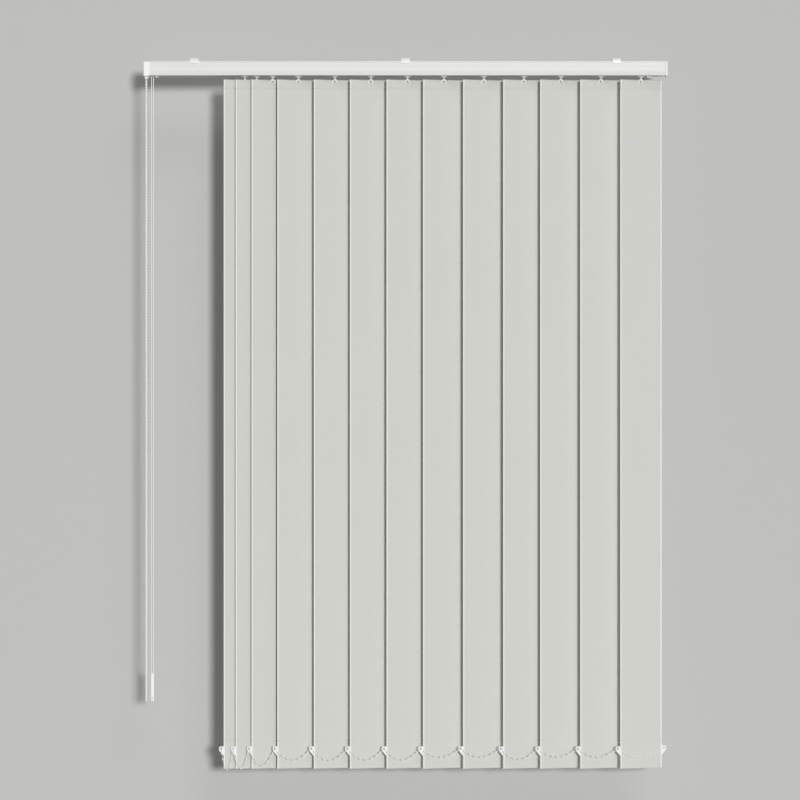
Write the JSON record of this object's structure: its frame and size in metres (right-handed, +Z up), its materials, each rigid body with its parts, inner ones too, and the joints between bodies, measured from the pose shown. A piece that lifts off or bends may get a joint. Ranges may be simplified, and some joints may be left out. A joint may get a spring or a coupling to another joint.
{
  "type": "vertical blind",
  "caption": "Vertical blind of hanging cloth louvres that turn together and slide along a slotted headrail, worked by a draw cord and a bead chain.",
  "frame": {"origin": "middle of the row of bracket screws, on the ceiling plane that the brackets meet", "axes": "+X along the headrail to the end where the louvres stack, +Z up, -Y towards the room"},
  "size_m": [1.046, 0.0433, 1.4219],
  "materials": {
    "rail_white": "white powder coat on an aluminium extrusion",
    "white_moulding": "satin white moulding",
    "bracket_steel": "white coated spring steel",
    "rod_alloy": "drawn aluminium",
    "cord": "braided white cord",
    "bead_chain": "white beads on cord",
    "truck_moulding": "natural white moulding",
    "louvre_cloth": "stiffened plain woven polyester, warm light grey",
    "fitting_moulding": "white moulding with a soft gloss",
    "spacer_chain": "white beads moulded on a thin string"
  },
  "bodies": {
    "root": {"headrail": "rail_white", "control_end_cap": "white_moulding", "return_end_cap": "white_moulding", "mounting_brackets": "bracket_steel", "draw_cord": "cord", "operating_chain": "bead_chain", "cord_weight": "white_moulding"},
    "tilt_rod": {"tilt_rod": "rod_alloy"},
    "truck_01": {"truck_01": "truck_moulding"},
    "truck_02": {"truck_02": "truck_moulding"},
    "truck_03": {"truck_03": "truck_moulding"},
    "truck_04": {"truck_04": "truck_moulding"},
    "truck_05": {"truck_05": "truck_moulding"},
    "truck_06": {"truck_06": "truck_moulding"},
    "truck_07": {"truck_07": "truck_moulding"},
    "truck_08": {"truck_08": "truck_moulding"},
    "truck_09": {"truck_09": "truck_moulding"},
    "truck_10": {"truck_10": "truck_moulding"},
    "truck_11": {"truck_11": "truck_moulding"},
    "truck_12": {"truck_12": "truck_moulding"},
    "truck_13": {"truck_13": "truck_moulding"},
    "louvre_01": {"louvre_01": "louvre_cloth", "louvre_fittings_01": "fitting_moulding"},
    "louvre_02": {"louvre_02": "louvre_cloth", "louvre_fittings_02": "fitting_moulding"},
    "louvre_03": {"louvre_03": "louvre_cloth", "louvre_fittings_03": "fitting_moulding"},
    "louvre_04": {"louvre_04": "louvre_cloth", "louvre_fittings_04": "fitting_moulding"},
    "louvre_05": {"louvre_05": "louvre_cloth", "louvre_fittings_05": "fitting_moulding"},
    "louvre_06": {"louvre_06": "louvre_cloth", "louvre_fittings_06": "fitting_moulding"},
    "louvre_07": {"louvre_07": "louvre_cloth", "louvre_fittings_07": "fitting_moulding"},
    "louvre_08": {"louvre_08": "louvre_cloth", "louvre_fittings_08": "fitting_moulding"},
    "louvre_09": {"louvre_09": "louvre_cloth", "louvre_fittings_09": "fitting_moulding"},
    "louvre_10": {"louvre_10": "louvre_cloth", "louvre_fittings_10": "fitting_moulding"},
    "louvre_11": {"louvre_11": "louvre_cloth", "louvre_fittings_11": "fitting_moulding"},
    "louvre_12": {"louvre_12": "louvre_cloth", "louvre_fittings_12": "fitting_moulding"},
    "louvre_13": {"louvre_13": "louvre_cloth", "louvre_fittings_13": "fitting_moulding", "front_chain_13": "spacer_chain"},
    "chain_01": {"front_chain_01": "spacer_chain"},
    "chain_02": {"front_chain_02": "spacer_chain"},
    "chain_03": {"front_chain_03": "spacer_chain"},
    "chain_04": {"front_chain_04": "spacer_chain"},
    "chain_05": {"front_chain_05": "spacer_chain"},
    "chain_06": {"front_chain_06": "spacer_chain"},
    "chain_07": {"front_chain_07": "spacer_chain"},
    "chain_08": {"front_chain_08": "spacer_chain"},
    "chain_09": {"front_chain_09": "spacer_chain"},
    "chain_10": {"front_chain_10": "spacer_chain"},
    "chain_11": {"front_chain_11": "spacer_chain"},
    "chain_12": {"front_chain_12": "spacer_chain"}
  },
  "joints": [
    {"name": "tilt_rod_spin", "type": "hinge", "parent": "root", "child": "tilt_rod", "pos_m": [0, 0, -0.0214], "axis": [1, 0, 0], "range_deg": [0, 1131.2]},
    {"name": "truck_13_slide", "type": "slide", "parent": "root", "child": "truck_13", "axis": [1, 0, 0], "range_m": [0, 0.005]},
    {"name": "truck_12_slide", "type": "slide", "parent": "truck_13", "child": "truck_12", "axis": [1, 0, 0], "range_m": [0, 0.059], "deforming": ["front_chain_12"]},
    {"name": "truck_11_slide", "type": "slide", "parent": "truck_12", "child": "truck_11", "axis": [1, 0, 0], "range_m": [0, 0.059], "deforming": ["front_chain_11"]},
    {"name": "truck_10_slide", "type": "slide", "parent": "truck_11", "child": "truck_10", "axis": [1, 0, 0], "range_m": [-0.00075, 0.053], "deforming": ["front_chain_10"]},
    {"name": "truck_09_slide", "type": "slide", "parent": "truck_10", "child": "truck_09", "axis": [1, 0, 0], "range_m": [0, 0.059], "deforming": ["front_chain_09"]},
    {"name": "truck_08_slide", "type": "slide", "parent": "truck_09", "child": "truck_08", "axis": [1, 0, 0], "range_m": [0, 0.059], "deforming": ["front_chain_08"]},
    {"name": "truck_07_slide", "type": "slide", "parent": "truck_08", "child": "truck_07", "axis": [1, 0, 0], "range_m": [-0.00175, 0.052], "deforming": ["front_chain_07"]},
    {"name": "truck_06_slide", "type": "slide", "parent": "truck_07", "child": "truck_06", "axis": [1, 0, 0], "range_m": [-0.00175, 0.052], "deforming": ["front_chain_06"]},
    {"name": "truck_05_slide", "type": "slide", "parent": "truck_06", "child": "truck_05", "axis": [1, 0, 0], "range_m": [-0.00275, 0.051], "deforming": ["front_chain_05"]},
    {"name": "truck_04_slide", "type": "slide", "parent": "truck_05", "child": "truck_04", "axis": [1, 0, 0], "range_m": [-0.00175, 0.052], "deforming": ["front_chain_04"]},
    {"name": "truck_03_slide", "type": "slide", "parent": "truck_04", "child": "truck_03", "axis": [1, 0, 0], "range_m": [-0.02315, 0.0306], "deforming": ["front_chain_03"]},
    {"name": "truck_02_slide", "type": "slide", "parent": "truck_03", "child": "truck_02", "axis": [1, 0, 0], "range_m": [-0.04295, 0.0108], "deforming": ["front_chain_02"]},
    {"name": "truck_01_slide", "type": "slide", "parent": "truck_02", "child": "truck_01", "axis": [1, 0, 0], "range_m": [-0.05115, 0.0026], "deforming": ["front_chain_01"]},
    {"name": "louvre_01_tilt", "type": "hinge", "parent": "truck_01", "child": "louvre_01", "pos_m": [-0.321, 0, -0.0376], "axis": [0, 0, 1], "range_deg": [0, 141.4]},
    {"name": "louvre_02_tilt", "type": "hinge", "parent": "truck_02", "child": "louvre_02", "pos_m": [-0.2974, 0, -0.0376], "axis": [0, 0, 1], "range_deg": [0, 141.4]},
    {"name": "louvre_03_tilt", "type": "hinge", "parent": "truck_03", "child": "louvre_03", "pos_m": [-0.2656, 0, -0.0376], "axis": [0, 0, 1], "range_deg": [0, 141.4]},
    {"name": "louvre_04_tilt", "type": "hinge", "parent": "truck_04", "child": "louvre_04", "pos_m": [-0.214, 0, -0.0376], "axis": [0, 0, 1], "range_deg": [0, 141.4]},
    {"name": "louvre_05_tilt", "type": "hinge", "parent": "truck_05", "child": "louvre_05", "pos_m": [-0.141, 0, -0.0376], "axis": [0, 0, 1], "range_deg": [0, 141.4]},
    {"name": "louvre_06_tilt", "type": "hinge", "parent": "truck_06", "child": "louvre_06", "pos_m": [-0.069, 0, -0.0376], "axis": [0, 0, 1], "range_deg": [0, 141.4]},
    {"name": "louvre_07_tilt", "type": "hinge", "parent": "truck_07", "child": "louvre_07", "pos_m": [0.004, 0, -0.0376], "axis": [0, 0, 1], "range_deg": [0, 141.4]},
    {"name": "louvre_08_tilt", "type": "hinge", "parent": "truck_08", "child": "louvre_08", "pos_m": [0.077, 0, -0.0376], "axis": [0, 0, 1], "range_deg": [0, 141.4]},
    {"name": "louvre_09_tilt", "type": "hinge", "parent": "truck_09", "child": "louvre_09", "pos_m": [0.157, 0, -0.0376], "axis": [0, 0, 1], "range_deg": [0, 141.4]},
    {"name": "louvre_10_tilt", "type": "hinge", "parent": "truck_10", "child": "louvre_10", "pos_m": [0.237, 0, -0.0376], "axis": [0, 0, 1], "range_deg": [0, 141.4]},
    {"name": "louvre_11_tilt", "type": "hinge", "parent": "truck_11", "child": "louvre_11", "pos_m": [0.311, 0, -0.0376], "axis": [0, 0, 1], "range_deg": [0, 141.4]},
    {"name": "louvre_12_tilt", "type": "hinge", "parent": "truck_12", "child": "louvre_12", "pos_m": [0.391, 0, -0.0376], "axis": [0, 0, 1], "range_deg": [0, 141.4]},
    {"name": "louvre_13_tilt", "type": "hinge", "parent": "truck_13", "child": "louvre_13", "pos_m": [0.471, 0, -0.0376], "axis": [0, 0, 1], "range_deg": [0, 141.4]},
    {"name": "chain_12_swivel", "type": "hinge", "parent": "louvre_12", "child": "chain_12", "pos_m": [0.3439, -0.01649, -1.379], "axis": [0, 0, 1], "range_deg": [-141.4, 0]},
    {"name": "chain_11_follow", "type": "slide", "parent": "chain_12", "child": "chain_11", "axis": [1, 0, 0], "range_m": [0, 0.059]},
    {"name": "chain_10_follow", "type": "slide", "parent": "chain_11", "child": "chain_10", "axis": [1, 0, 0], "range_m": [-0.00075, 0.053]},
    {"name": "chain_09_follow", "type": "slide", "parent": "chain_10", "child": "chain_09", "axis": [1, 0, 0], "range_m": [0, 0.059]},
    {"name": "chain_08_follow", "type": "slide", "parent": "chain_09", "child": "chain_08", "axis": [1, 0, 0], "range_m": [0, 0.059]},
    {"name": "chain_07_follow", "type": "slide", "parent": "chain_08", "child": "chain_07", "axis": [1, 0, 0], "range_m": [-0.00175, 0.052]},
    {"name": "chain_06_follow", "type": "slide", "parent": "chain_07", "child": "chain_06", "axis": [1, 0, 0], "range_m": [-0.00175, 0.052]},
    {"name": "chain_05_follow", "type": "slide", "parent": "chain_06", "child": "chain_05", "axis": [1, 0, 0], "range_m": [-0.00275, 0.051]},
    {"name": "chain_04_follow", "type": "slide", "parent": "chain_05", "child": "chain_04", "axis": [1, 0, 0], "range_m": [-0.00175, 0.052]},
    {"name": "chain_03_follow", "type": "slide", "parent": "chain_04", "child": "chain_03", "axis": [1, 0, 0], "range_m": [-0.02315, 0.0306]},
    {"name": "chain_02_follow", "type": "slide", "parent": "chain_03", "child": "chain_02", "axis": [1, 0, 0], "range_m": [-0.04295, 0.0108]},
    {"name": "chain_01_follow", "type": "slide", "parent": "chain_02", "child": "chain_01", "axis": [1, 0, 0], "range_m": [-0.05115, 0.0026]}
  ],
  "couplings": [
    {"joint": "tilt_rod_spin", "follows": "louvre_13_tilt", "ratio": 8},
    {"joint": "louvre_01_tilt", "follows": "louvre_13_tilt", "ratio": 1},
    {"joint": "louvre_02_tilt", "follows": "louvre_13_tilt", "ratio": 1},
    {"joint": "louvre_03_tilt", "follows": "louvre_13_tilt", "ratio": 1},
    {"joint": "louvre_04_tilt", "follows": "louvre_13_tilt", "ratio": 1},
    {"joint": "louvre_05_tilt", "follows": "louvre_13_tilt", "ratio": 1},
    {"joint": "louvre_06_tilt", "follows": "louvre_13_tilt", "ratio": 1},
    {"joint": "louvre_07_tilt", "follows": "louvre_13_tilt", "ratio": 1},
    {"joint": "louvre_08_tilt", "follows": "louvre_13_tilt", "ratio": 1},
    {"joint": "louvre_09_tilt", "follows": "louvre_13_tilt", "ratio": 1},
    {"joint": "louvre_10_tilt", "follows": "louvre_13_tilt", "ratio": 1},
    {"joint": "louvre_11_tilt", "follows": "louvre_13_tilt", "ratio": 1},
    {"joint": "louvre_12_tilt", "follows": "louvre_13_tilt", "ratio": 1},
    {"joint": "chain_12_swivel", "follows": "louvre_13_tilt", "ratio": -1},
    {"joint": "chain_01_follow", "follows": "truck_01_slide", "ratio": 1},
    {"joint": "chain_02_follow", "follows": "truck_02_slide", "ratio": 1},
    {"joint": "chain_03_follow", "follows": "truck_03_slide", "ratio": 1},
    {"joint": "chain_04_follow", "follows": "truck_04_slide", "ratio": 1},
    {"joint": "chain_05_follow", "follows": "truck_05_slide", "ratio": 1},
    {"joint": "chain_06_follow", "follows": "truck_06_slide", "ratio": 1},
    {"joint": "chain_07_follow", "follows": "truck_07_slide", "ratio": 1},
    {"joint": "chain_08_follow", "follows": "truck_08_slide", "ratio": 1},
    {"joint": "chain_09_follow", "follows": "truck_09_slide", "ratio": 1},
    {"joint": "chain_10_follow", "follows": "truck_10_slide", "ratio": 1},
    {"joint": "chain_11_follow", "follows": "truck_11_slide", "ratio": 1}
  ]
}
